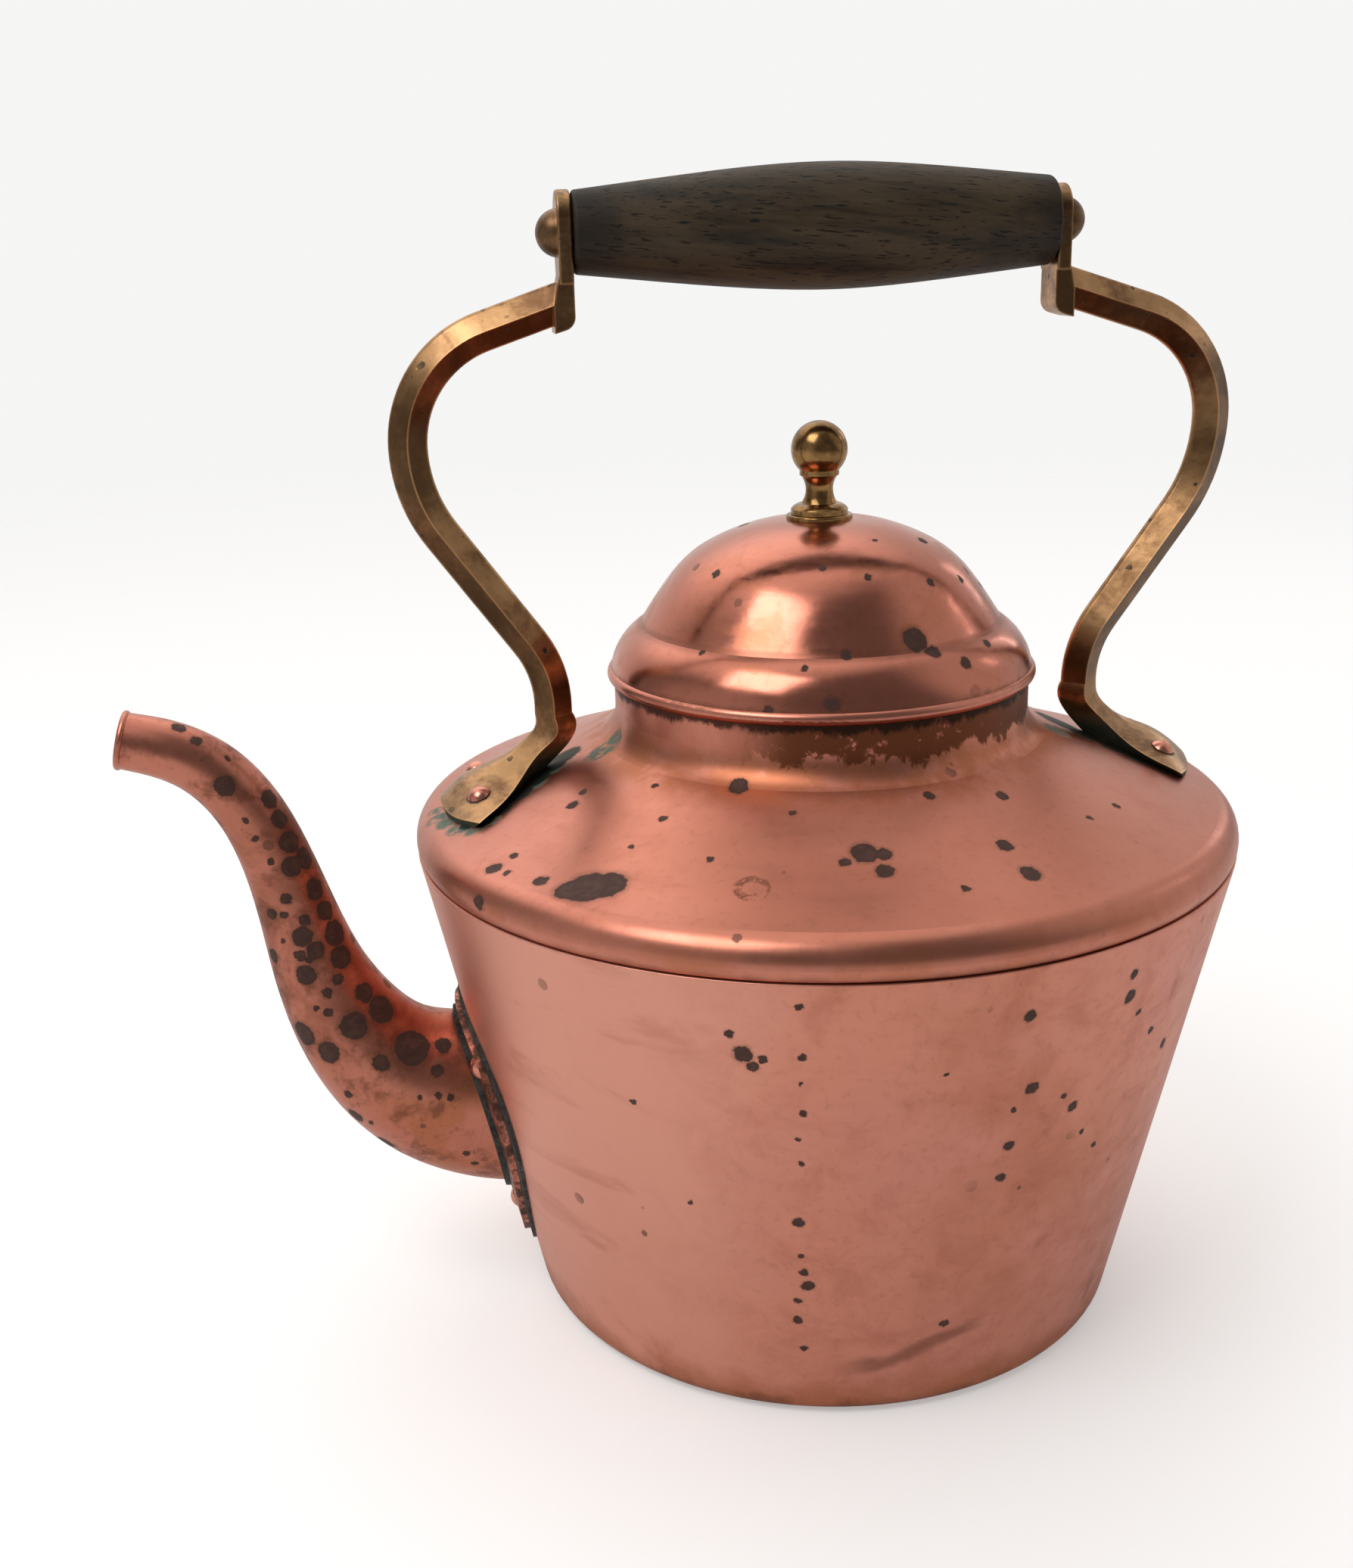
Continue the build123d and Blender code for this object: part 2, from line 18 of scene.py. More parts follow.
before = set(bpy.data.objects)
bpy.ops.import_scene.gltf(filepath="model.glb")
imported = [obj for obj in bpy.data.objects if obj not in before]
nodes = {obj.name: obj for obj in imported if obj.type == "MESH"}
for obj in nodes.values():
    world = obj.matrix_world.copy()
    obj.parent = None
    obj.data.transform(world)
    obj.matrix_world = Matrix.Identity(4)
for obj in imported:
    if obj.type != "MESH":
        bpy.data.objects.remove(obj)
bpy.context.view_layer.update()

# Camera: its direction from the target and its roll in radians, its lens in mm
AZIMUTH = -0.1357
ELEVATION = 0.30684
ROLL = -0.02753
LENS = 39.09
TARGET = Vector((-0.0371, 0.00507, 0.13553))
DISTANCE = 0.4454

# Studio: the room's own level, then each of its bright sides as (direction, cosine of the
# angle within which it is full, cosine of the angle where it has faded out, strength)
ROOM_LEVEL = 0.15
ROOM = [
    ((-0.18, 0.36, 0.92), 0.97, 0.62, 0.88),
    ((0.90, 0.10, 0.42), 0.92, 0.66, 0.42),
    ((-0.90, -0.30, -0.10), 0.95, 0.60, 0.30),
    ((0.0, 0.0, -1.0), 0.30, -0.02, 0.40),
    ((-0.1, 1.0, 0.30), 0.93, 0.50, 0.62),
]
FLOOR_GLOW = 0.36                    # glow of the floor that the camera sees
FLOOR_TONE = 0.64                    # paleness of the floor that the kettle reflects
FLOOR_LIFT = 0.16                    # and its glow
FLOOR_RADIUS = 2.2                   # metres
FLOOR_DROP = 0.0004
BACKGROUND = 0.92
SOFTBOXES = [                        # name, direction, distance, width and height, radiance
    ("window", (-0.50, -0.35, 0.79), 1.1, (0.58, 0.58), 3.6),
    ("side_window", (0.72, 0.62, 0.30), 1.4, (0.06, 0.42), 3.0),
    ("back_window", (0.86, 0.20, 0.42), 1.5, (0.05, 0.30), 3.0),
]
LIGHT_AIM = Vector((0.0, 0.0, 0.14))
DAYLIGHT = (1.0, 0.985, 0.965)
PAPER = (1.0, 0.995, 0.99)
FLOOR_TINT = (1.0, 0.99, 0.98)

# Copper, from a tone painted lighter where the light falls to blackened, then its verdigris and its tinning
PAINTED_LIT_COPPER = (0.90, 0.430, 0.320)
SALMON = (0.78, 0.320, 0.222)
PINK = (0.76, 0.312, 0.232)
ROSE = (0.60, 0.215, 0.145)
AMBER = (0.50, 0.170, 0.075)
RUSSET = (0.30, 0.095, 0.055)
BROWN = (0.21, 0.080, 0.048)
RUST = (0.150, 0.048, 0.018)
HEART = (0.085, 0.038, 0.027)        # of a dark spot
SPOT = (0.050, 0.022, 0.016)
OXIDE = (0.030, 0.024, 0.020)
# Black, for crust and for the painted shadow under the lid's bead
CRUST_AND_SHADOW = (0.018, 0.016, 0.013)
VERDIGRIS = (0.11, 0.24, 0.20)
# Dark green-black, painted as shadow in the gaps under the pads
SHADOW_GREEN = (0.022, 0.055, 0.042)
TIN = (0.40, 0.37, 0.33)
DULL_TIN = (0.24, 0.20, 0.165)

# Brass: bright, filmed over, darker on the bars' flat sides from brown film and painted shade, dirty and
# bloomed
BRASS = (0.52, 0.290, 0.135)
BRASS_FILM = (0.17, 0.082, 0.040)
SHADED_BRASS_FILM = (0.105, 0.056, 0.026)
BRASS_DIRT = (0.045, 0.026, 0.014)
BRASS_BLOOM = (0.075, 0.085, 0.060)
ROD_BRASS = (0.26, 0.145, 0.07)
ROD_FILM = (0.08, 0.045, 0.026)
KNOB_BRASS = (0.42, 0.235, 0.09)
KNOB_FILM = (0.12, 0.060, 0.025)

# Wood
WOOD_DARK = (0.019, 0.012, 0.006)
WOOD_PALE = (0.070, 0.043, 0.021)
WOOD_BAND = (0.092, 0.059, 0.029)
WOOD_FIBRE = (0.046, 0.032, 0.018)
WOOD_PORE = (0.004, 0.003, 0.002)
WOOD_ENDS = (0.009, 0.006, 0.004)
WOOD_GRIME = (0.014, 0.010, 0.007)

# Solder, and the tinned steel inside the lid
SOLDER_BLACK = (0.016, 0.017, 0.015)
SOLDER_GREY = (0.070, 0.072, 0.066)
SOLDER_OLIVE = (0.040, 0.044, 0.034)
SOLDER_BRIGHT = (0.46, 0.46, 0.43)
STEEL_TIN = (0.42, 0.40, 0.36)
STEEL_STAIN = (0.20, 0.16, 0.12)

# Places on the kettle, in mm
SEAM_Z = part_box("shoulder")[0].z * 1000   # lower edge of the shoulder's skirt
RIM_Z = SEAM_Z + 2.7                 # widest part of the rim's roll
NECK_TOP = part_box("shoulder")[1].z * 1000
NECK_ROOT_Z = NECK_TOP - 18.2
BEAD_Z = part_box("lid_bead")[1].z * 1000   # top of the lid's bead
RING_TOP_Z = BEAD_Z + 10.8
HEEL_TOP_Z = 262.0                   # where the bars' heels end and the eyes begin
SKIRT_IN_R = 102.6                   # radius inside the shoulder's skirt
PAD_RIVET = (89.3, 12.0, 142.5)      # a rivet's head, on any pad

# Scales of the sizes in the lists below
PAN_SPOT_SHARE = 0.72
SPOUT_SPOT_SHARE = 0.80

# Spots that stand out, seen from the front: (x, z, size)
PAN_SPOTS = [
    (-27, 119, 1.3), (-26, 106, 1.2), (-26, 99, 0.8), (-25, 91, 1.3), (-26, 84, 0.9),
    (-25, 77, 1.0), (-25, 60, 2.0), (-24, 50, 1.0), (-23, 45, 1.7), (-22, 41, 2.1),
    (-24, 36, 1.2), (-24, 30, 1.6), (-22, 21, 1.2), (-41, 111, 1.6), (-38, 106, 2.9),
    (-34, 105, 1.5), (-36, 103, 1.9), (23, 112, 2.2), (50, 109, 2.4), (50, 115, 1.8),
    (54, 103, 1.3), (67, 87, 1.9), (26, 92, 2.3), (38, 83, 2.0), (35, 87, 1.2),
    (22, 77, 1.9), (21, 68, 1.7), (22, 87, 1.2), (11, 26, 1.6), (42, 74, 1.2),
    (47, 68, 1.3), (-60, 88, 1.0), (-48, 62, 0.9), (5, 100, 0.9), (60, 95, 1.6),
]
SPOUT_SPOTS = [
    (-150, 147, 3.4), (-160, 161, 2.3), (-156, 158, 1.7), (-140, 142, 3.2), (-138, 137, 3.0),
    (-136, 131, 3.8), (-133, 126, 3.6), (-141, 127, 1.3), (-144, 133, 1.1), (-136, 125, 3.4),
    (-131, 118, 3.6), (-129, 112, 3.4), (-138, 117, 1.8), (-142, 113, 2.0), (-139, 113, 1.4),
    (-134, 111, 1.9), (-135, 107, 3.3), (-136, 102, 1.8), (-132, 103, 3.1), (-127, 106, 4.2),
    (-126, 100, 3.8), (-135, 97, 3.3), (-143, 101, 2.4), (-130, 92, 1.6), (-121, 90, 3.4),
    (-117, 85, 4.8), (-124, 83, 4.6), (-133, 88, 1.2), (-130, 87, 1.6), (-110, 75, 6.0),
    (-118, 73, 2.9), (-131, 76, 3.9), (-137, 80, 4.4), (-102, 74, 2.7), (-104, 69, 2.1),
    (-127, 64, 1.6), (-126, 56, 3.1), (-119, 47, 3.2), (-116, 43, 2.6), (-104, 63, 1.2),
    (-109, 63, 1.0), (-101, 62, 1.3), (-122, 55, 1.1), (-98, 45, 1.2), (-96, 41, 1.1),
    (-134, 101, 1.2), (-140, 106, 1.0), (-127, 95, 1.8), (-146, 138, 1.0), (-149, 153, 0.9),
]
# and from above: (x, y, size)
SHOULDER_SPOTS = [
    (-67, -66, 5.4), (-63, -67, 4.6), (-71, -65, 3.6), (-7, -75, 3.1), (-3, -76, 1.9), (-4, -81, 2.2),
    (-12, -77, 1.3), (30, -57, 1.5), (25, -74, 1.9), (28, -83, 2.5), (12, -59, 1.3), (-30, -48, 2.4),
    (-87, -46, 2.0), (-77, -58, 1.8), (-67, -30, 1.6), (-64, -26, 1.2), (-48, -50, 1.1), (-48, -37, 1.0),
    (-98, -38, 1.3), (-84, -50, 1.0), (-82, -43, 1.2), (50, -60, 1.0), (-40, -68, 0.9), (-56, -56, 0.8),
    (60, -52, 1.0), (-94, -47, 2.4), (-91, -52, 1.9), (-89, -56, 2.8), (-20, -60, 0.9), (12, -88, 1.0),
]
LID_SPOTS = [
    (-29, -17, 1.3), (-6, -30, 1.0), (23, -13, 1.5), (13, -42, 3.1), (17, -43, 1.9), (25, -43, 1.6),
    (-4, -45, 1.2), (-23, -48, 1.1), (-9, -52, 1.8), (4, -33, 1.0), (20, -30, 1.2), (30, -22, 1.1),
    (-14, -46, 0.9), (33, -34, 1.2), (-35, -30, 0.9), (9, -20, 0.8), (38, -12, 1.0),
]
RING_MARK = (-33, -80, 4.3)          # a mark shaped like a ring, also on the shoulder
# Bloom around the pads, then painted shadow in the gaps under their near edges, from above too
GREEN_SPOTS = [
    (-55, -8, 4.0), (-58, -9, 4.0), (-99, 0, 3.2), (-99, -6, 3.4), (-97, -12, 3.6),
    (-94, -18, 3.6), (-90, -22, 3.2), (-86, -20, 2.6), (-74, -9, 3.0), (-70, -5, 3.0), (59, -14, 4.0),
]
PAD_SHADOW_SPOTS = [
    (-66, 1, 4.6), (-70, -2, 4.4), (-74, -6, 4.2), (-79, -11, 4.0), (-84, -16, 3.6),
    (-88, -19, 3.0), (-92, -18, 2.4), (64, 0, 6.5), (70, -5, 5.6), (76, -9, 5.0),
    (82, -13, 4.6), (88, -17, 3.6),
]


# ---------------------------------------------------------------- node trees

class Finish:
    """A material and short calls for the nodes that make it."""

    def __init__(self, name):
        self.material = bpy.data.materials.new(name)
        self.material.use_nodes = True
        self.tree = self.material.node_tree
        self.shader = self.tree.nodes["Principled BSDF"]
        coordinates = self.tree.nodes.new("ShaderNodeTexCoord")
        self.normal = coordinates.outputs["Normal"]
        scale = self.tree.nodes.new("ShaderNodeVectorMath")
        scale.operation = "SCALE"
        scale.inputs["Scale"].default_value = 1000.0
        self.put(scale.inputs[0], coordinates.outputs["Object"])
        self.point = scale.outputs[0]
        parts = self.tree.nodes.new("ShaderNodeSeparateXYZ")
        self.put(parts.inputs[0], self.point)
        self.x, self.y, self.z = parts.outputs
        facing = self.tree.nodes.new("ShaderNodeSeparateXYZ")
        self.put(facing.inputs[0], self.normal)
        self.facing_x, self.facing_y, self.facing_z = facing.outputs

    def put(self, socket, value):
        if isinstance(value, bpy.types.NodeSocket):
            self.tree.links.new(value, socket)
        elif isinstance(value, tuple) and len(value) < len(socket.default_value):
            socket.default_value = (*value, 1.0)
        else:
            socket.default_value = value

    def math(self, operation, a, b=0.0):
        node = self.tree.nodes.new("ShaderNodeMath")
        node.operation = operation
        self.put(node.inputs[0], a)
        self.put(node.inputs[1], b)
        return node.outputs[0]

    def plus(self, a, b):
        return self.math("ADD", a, b)

    def times(self, a, b):
        return self.math("MULTIPLY", a, b)

    def most(self, *masks):
        result = masks[0]
        for mask in masks[1:]:
            result = self.math("MAXIMUM", result, mask)
        return result

    def without(self, mask):
        return self.math("SUBTRACT", 1.0, mask)

    def vector(self, operation, a, b):
        node = self.tree.nodes.new("ShaderNodeVectorMath")
        node.operation = operation
        self.put(node.inputs[0], a)
        self.put(node.inputs[1], b)
        return node.outputs["Value" if operation in ("DISTANCE", "DOT_PRODUCT") else 0]

    def join(self, x, y, z):
        node = self.tree.nodes.new("ShaderNodeCombineXYZ")
        for socket, value in zip(node.inputs, (x, y, z)):
            self.put(socket, value)
        return node.outputs[0]

    def around(self):
        """Point unrolled about the kettle's axis: 60 mm per radian, and the height."""
        angle = self.math("ARCTAN2", self.x, self.y)
        return self.join(self.times(angle, 60.0), 0.0, self.z)

    def noise(self, size, detail=3.0, roughness=0.55, stretch=(1, 1, 1), point=None, color=False, warp=0.0):
        """Noise whose features are about size mm, longer by stretch along each axis."""
        node = self.tree.nodes.new("ShaderNodeTexNoise")
        inverse = tuple(1.0 / (size * s) for s in stretch)
        scaled = self.vector("MULTIPLY", point or self.point, inverse)
        self.put(node.inputs["Vector"], scaled)
        self.put(node.inputs["Scale"], 1.0)
        self.put(node.inputs["Detail"], detail)
        self.put(node.inputs["Roughness"], roughness)
        self.put(node.inputs["Distortion"], warp)
        return node.outputs["Color" if color else "Fac"]

    def step(self, value, low, high):
        """0 below low, 1 above high and smooth between; falling if low is the larger."""
        node = self.tree.nodes.new("ShaderNodeMapRange")
        node.interpolation_type = "SMOOTHSTEP"
        self.put(node.inputs["Value"], value)
        ends = (low, high, 0.0, 1.0) if low < high else (high, low, 1.0, 0.0)
        for name, end in zip(("From Min", "From Max", "To Min", "To Max"), ends):
            self.put(node.inputs[name], end)
        return node.outputs["Result"]

    def mix(self, factor, a, b):
        node = self.tree.nodes.new("ShaderNodeMix")
        node.data_type = "RGBA"
        self.put(node.inputs[0], factor)
        self.put(node.inputs[6], a)
        self.put(node.inputs[7], b)
        return node.outputs[2]

    def blend(self, factor, a, b):
        """Number a where the factor is 0 and b where it is 1."""
        node = self.tree.nodes.new("ShaderNodeMix")
        self.put(node.inputs[0], factor)
        self.put(node.inputs[2], a)
        self.put(node.inputs[3], b)
        return node.outputs[0]

    def ragged(self, amount, size):
        """The point pushed about by noise, for ragged edges."""
        push = self.vector("SUBTRACT", self.noise(size, 4.0, 0.7, color=True), (0.5, 0.5, 0.5))
        return self.vector("ADD", self.point, self.vector("MULTIPLY", push, (amount,) * 3))

    def nearest(self, point, spots):
        """Distance to the nearest spot's centre as a share of its size."""
        least = None
        for centre, size in spots:
            share = self.times(self.vector("DISTANCE", point, tuple(centre)), 1.0 / size)
            least = share if least is None else self.math("MINIMUM", least, share)
        return least

    def specks(self, cell, share, size, point=None):
        """Round specks in some of the cells of a loose 3-D pattern."""
        node = self.tree.nodes.new("ShaderNodeTexVoronoi")
        self.put(node.inputs["Vector"], self.vector("MULTIPLY", point or self.point, (1.0 / cell,) * 3))
        self.put(node.inputs["Scale"], 1.0)
        draw = self.tree.nodes.new("ShaderNodeSeparateColor")
        self.put(draw.inputs[0], node.outputs["Color"])
        chosen = self.math("LESS_THAN", draw.outputs[0], share)
        reach = self.times(self.plus(draw.outputs[1], 0.35), size / cell)
        inside = self.step(self.math("SUBTRACT", reach, node.outputs["Distance"]), 0.0, 0.05)
        return self.times(chosen, inside)

    def bump(self, height, distance, strength=1.0, normal=None):
        """Bump from a height in 0..1 that stands for distance in mm."""
        node = self.tree.nodes.new("ShaderNodeBump")
        self.put(node.inputs["Strength"], strength)
        self.put(node.inputs["Distance"], distance / 1000.0)
        self.put(node.inputs["Height"], height)
        if normal is not None:
            self.put(node.inputs["Normal"], normal)
        return node.outputs[0]

    def finish(self, color, metallic, roughness, normal=None):
        self.put(self.shader.inputs["Base Color"], color)
        self.put(self.shader.inputs["Metallic"], metallic)
        self.put(self.shader.inputs["Roughness"], roughness)
        if normal is not None:
            self.put(self.shader.inputs["Normal"], normal)
        return self.material


def on_surface(node, spots, across, towards):
    """Spots given by two coordinates, brought onto a node's surface along an axis."""
    mesh = nodes[node].data
    tree = BVHTree.FromPolygons([v.co for v in mesh.vertices], [p.vertices[:] for p in mesh.polygons])
    far = Vector(towards) * -0.5
    placed = []
    for a, b, size in spots:
        start = far + Vector(across[0]) * a / 1000 + Vector(across[1]) * b / 1000
        hit = tree.ray_cast(start, Vector(towards))[0]
        if hit is not None:
            placed.append((hit * 1000, size))
    return placed


def from_front(node, spots):
    return on_surface(node, spots, ((1, 0, 0), (0, 0, 1)), (0, 1, 0))


def from_behind(node, spots):
    return on_surface(node, spots, ((1, 0, 0), (0, 0, 1)), (0, -1, 0))


def from_above(node, spots):
    return on_surface(node, spots, ((1, 0, 0), (0, 1, 0)), (0, 0, -1))


def resized(spots, share):
    """The same spots with their sizes scaled."""
    return [(first, second, size * share) for first, second, size in spots]


def scattered(seed, count, first, second, sizes):
    """Spots drawn at random within two ranges, most of them small."""
    draw = Random(seed)
    return [
        (draw.uniform(*first), draw.uniform(*second), sizes[0] + (sizes[1] - sizes[0]) * draw.random()**3)
        for _ in range(count)
    ]


# ---------------------------------------------------------------- copper

def copper(name, spots, tone=0.0, polish=0.34, speck_share=0.10, stains_and_shades=(), lined=None):
    """Satin copper: uneven tone, cloudy tarnish, ragged dark spots and fine wiping marks.

    Each of the stain and painted-shade makers gives a (mask, colour, roughness) from the finish;
    lined makes the mask of the surfaces that are tinned.
    """
    f = Finish(name)
    cloud = f.noise(48.0, 5.0, 0.62)
    mottle = f.noise(13.0, 5.0, 0.68, warp=0.6)
    grain = f.noise(2.2, 4.0, 0.65)
    wiped = f.noise(2.0, 3.0, 0.6, stretch=(9, 9, 1))

    color = f.mix(f.step(cloud, 0.36, 0.64), SALMON, PINK)
    color = f.mix(f.times(f.step(mottle, 0.44, 0.70), 0.55), color, ROSE)
    color = f.mix(f.times(f.step(f.noise(70.0, 4.0, 0.6), 0.50, 0.68), 0.40), color, AMBER)
    color = f.mix(tone, color, ROSE)
    dirty = f.times(f.step(mottle, 0.60, 0.78), f.step(cloud, 0.48, 0.62))
    color = f.mix(f.times(dirty, 0.55), color, BROWN)
    color = f.mix(f.times(f.step(grain, 0.52, 0.72), 0.16), color, BROWN)

    roughness = f.plus(polish, f.times(f.math("SUBTRACT", mottle, 0.5), 0.22))
    roughness = f.plus(roughness, f.times(f.math("SUBTRACT", wiped, 0.5), 0.16))
    metallic = f.blend(dirty, 1.0, 0.9)

    # Stains, and the painted shade in the lid's creases and under the rim, the lid's bead and the pads
    for make in stains_and_shades:
        mask, stain, stain_roughness = make(f)
        color = f.mix(mask, color, stain)
        roughness = f.blend(mask, roughness, stain_roughness)

    share = f.nearest(f.ragged(2.3, 2.4), spots)
    inside = f.step(share, 1.04, 0.92)
    halo = f.times(f.step(share, 1.45, 0.95), 0.45)
    small = f.specks(6.5, speck_share, 1.5, f.ragged(0.9, 1.6))
    patchy = f.step(f.noise(34.0, 3.0), 0.46, 0.60)
    small = f.times(small, patchy)
    heart = f.mix(f.times(f.step(grain, 0.42, 0.62), f.step(share, 0.95, 0.6)), SPOT, HEART)
    color = f.mix(halo, color, BROWN)
    color = f.mix(f.times(small, 0.8), color, BROWN)
    color = f.mix(f.times(inside, 0.93), color, heart)
    spotted = f.most(inside, f.times(small, 0.7))
    roughness = f.blend(spotted, roughness, 0.62)
    metallic = f.blend(spotted, metallic, 0.35)

    if lined is not None:
        tinned = lined(f)
        color = f.mix(tinned, color, f.mix(f.step(mottle, 0.40, 0.66), TIN, DULL_TIN))
        roughness = f.blend(tinned, roughness, 0.48)

    waves = f.noise(26.0, 2.0, 0.5)
    normal = f.bump(waves, 0.30, 0.55)
    normal = f.bump(wiped, 0.012, 0.6, normal)
    normal = f.bump(grain, 0.02, 0.5, normal)
    return f.finish(color, metallic, roughness, normal)


def facing_in(f):
    """1 where the surface faces the kettle's axis."""
    outward = f.plus(f.times(f.x, f.facing_x), f.times(f.y, f.facing_y))
    return f.math("LESS_THAN", outward, -1.0)


def pan_lining(f):
    """Inside of the pan's wall and floor."""
    floor = f.times(f.math("GREATER_THAN", f.facing_z, 0.6), f.math("LESS_THAN", f.z, 12.0))
    return f.most(facing_in(f), floor)


def shoulder_lining(f):
    """Inside of the neck and the underside of the shoulder."""
    under = f.math("LESS_THAN", f.facing_z, -0.1)
    radius = f.vector("DISTANCE", f.join(f.x, f.y, 0.0), (0, 0, 0))
    return f.most(facing_in(f), f.times(under, f.math("LESS_THAN", radius, SKIRT_IN_R)))


def lid_lining(f):
    """Inside of the dome."""
    return f.most(facing_in(f), f.math("LESS_THAN", f.facing_z, -0.2))


def scorched_foot(f):
    """Orange and brown heat stain along the bottom edge."""
    line = f.plus(f.z, f.times(f.noise(16.0, 4.0, 0.6), -22.0))
    return f.times(f.step(line, 3.0, -9.0), 0.75), AMBER, 0.45


def foot_grime(f):
    """Brown grime in patches at the very bottom."""
    line = f.plus(f.z, f.times(f.noise(9.0, 5.0, 0.7), -14.0))
    return f.times(f.step(line, -2.0, -7.5), 0.7), BROWN, 0.55


def pan_streak(f):
    """Long soft streak that slants up to the right near the bottom of the front."""
    along = f.plus(f.z, f.times(f.x, -0.30))
    line = f.plus(along, f.times(f.noise(12.0, 3.0), 6.0))
    band = f.times(f.step(line, 17.0, 20.0), f.step(line, 24.0, 21.0))
    ends = f.times(f.step(f.x, -18.0, -4.0), f.step(f.x, 24.0, 14.0))
    front = f.math("LESS_THAN", f.y, 0.0)
    return f.times(f.times(band, f.times(ends, front)), 0.6), BROWN, 0.5


def pan_lit_side(f):
    """Painted light: the side towards the spout is painted lighter, where the light falls."""
    line = f.plus(f.x, f.times(f.noise(30.0, 4.0, 0.6), 40.0))
    return f.times(f.step(line, 5.0, -40.0), 0.8), PAINTED_LIT_COPPER, 0.42


def pan_smears(f):
    """Redder smears all over the wall."""
    smear = f.noise(22.0, 4.0, 0.6, stretch=(2.4, 2.4, 0.7), warp=0.8)
    return f.times(f.step(smear, 0.55, 0.72), 0.42), ROSE, 0.46


def under_skirt_shade(f):
    """Painted shade: a brown band on the wall just under the shoulder's skirt."""
    line = f.plus(f.z, f.times(f.noise(7.0, 3.0), 4.0))
    return f.times(f.step(line, SEAM_Z + 0.7, SEAM_Z + 3.7), 0.30), BROWN, 0.6


def neck_stain(f):
    """Rust-brown stain with a dripping edge below the lid's bead, mostly at the front."""
    drip = f.noise(7.0, 5.0, 0.7, stretch=(1.3, 1.3, 1.6), point=f.around(), warp=0.6)
    line = f.plus(f.z, f.times(drip, -17.0))
    open_to = f.times(f.step(f.x, -34.0, -16.0), f.step(f.y, 10.0, -20.0))
    broken = f.step(f.noise(3.4, 4.0, 0.7), 0.26, 0.42)
    stained = f.step(line, NECK_TOP - 17.6, NECK_TOP - 16.2)
    return f.times(f.times(stained, broken), f.times(open_to, 0.9)), RUST, 0.5


def bead_shadow(f):
    """Painted shadow: a black edge right under the lid's bead."""
    drip = f.noise(5.0, 4.0, 0.7, stretch=(1, 1, 1.5), point=f.around())
    line = f.plus(f.z, f.times(drip, -7.0))
    return f.times(f.step(line, NECK_TOP - 6.0, NECK_TOP - 4.2), 0.85), CRUST_AND_SHADOW, 0.55


def root_stain(f):
    """Amber bloom around the foot of the neck."""
    patch = f.noise(11.0, 4.0, 0.65)
    above = f.step(f.z, NECK_ROOT_Z, NECK_ROOT_Z + 3.9)
    near = f.times(above, f.step(f.z, NECK_TOP - 4.8, NECK_TOP - 10.8))
    return f.times(f.times(f.step(patch, 0.36, 0.58), near), 0.75), AMBER, 0.45


def rim_underside_shade(f):
    """Painted shade: brown on the underside of the rolled rim."""
    line = f.plus(f.z, f.times(f.noise(9.0, 3.0), 5.0))
    return f.times(f.step(line, RIM_Z + 1.6, RIM_Z - 1.4), 0.62), BROWN, 0.5


def roll_tarnish(f):
    """Amber clouds on the rim's roll."""
    patch = f.noise(18.0, 4.0, 0.6)
    low = f.step(f.z, RIM_Z + 7.1, RIM_Z + 0.6)
    return f.times(f.times(f.step(patch, 0.42, 0.62), low), 0.45), AMBER, 0.42


def green_bloom(f):
    """Verdigris around the pads and at the neck's foot."""
    share = f.nearest(f.ragged(5.0, 5.0), from_above("shoulder", GREEN_SPOTS))
    mottled = f.step(f.noise(2.6, 4.0, 0.7), 0.30, 0.56)
    return f.times(f.times(f.step(share, 1.25, 0.65), mottled), 0.85), VERDIGRIS, 0.75


def pad_gap_shadow(f):
    """Painted shadow: dark green-black on the shoulder in the gap under the pads' near edges."""
    share = f.nearest(f.ragged(3.0, 3.4), from_above("shoulder", PAD_SHADOW_SPOTS))
    return f.times(f.step(share, 1.10, 0.80), 0.92), SHADOW_GREEN, 0.6


def ring_mark(f):
    """Broken brown ring."""
    share = f.nearest(f.ragged(2.2, 2.4), from_above("shoulder", [RING_MARK]))
    ring = f.times(f.step(share, 0.42, 0.62), f.step(share, 1.05, 0.85))
    broken = f.step(f.noise(2.0, 3.0, 0.7), 0.40, 0.56)
    return f.times(f.times(ring, broken), 0.75), BROWN, 0.55


def bead_groove_shade(f):
    """Painted shade: a dark line in the groove between the bead and the ring."""
    line = f.plus(f.z, f.times(f.noise(5.0, 4.0, 0.7, point=f.around()), 3.0))
    return f.times(f.step(line, BEAD_Z + 2.9, BEAD_Z + 0.8), 0.75), BROWN, 0.5


def dome_crease_shade(f):
    """Painted shade: a brown line in the crease where the dome rises from the ring."""
    line = f.plus(f.z, f.times(f.noise(8.0, 3.0), 1.2))
    above = f.step(line, RING_TOP_Z - 0.6, RING_TOP_Z + 0.6)
    below = f.step(line, RING_TOP_Z + 2.3, RING_TOP_Z + 1.1)
    return f.times(f.times(above, below), 0.4), BROWN, 0.45


def lid_clouds(f):
    """Amber clouds on the lid."""
    patch = f.noise(20.0, 5.0, 0.65, warp=1.2)
    return f.times(f.step(patch, 0.52, 0.70), 0.55), AMBER, 0.36


def spout_back(f):
    """Brown oxide along the side of the spout that faces the kettle."""
    along = f.plus(f.x, f.times(f.z, 0.50))
    line = f.plus(along, f.times(f.noise(8.0, 5.0, 0.7), 15.0))
    high = f.times(f.step(f.z, 82.0, 98.0), f.step(f.z, 146.0, 134.0))
    return f.times(f.times(f.step(line, -65.0, -61.0), high), 0.85), BROWN, 0.5


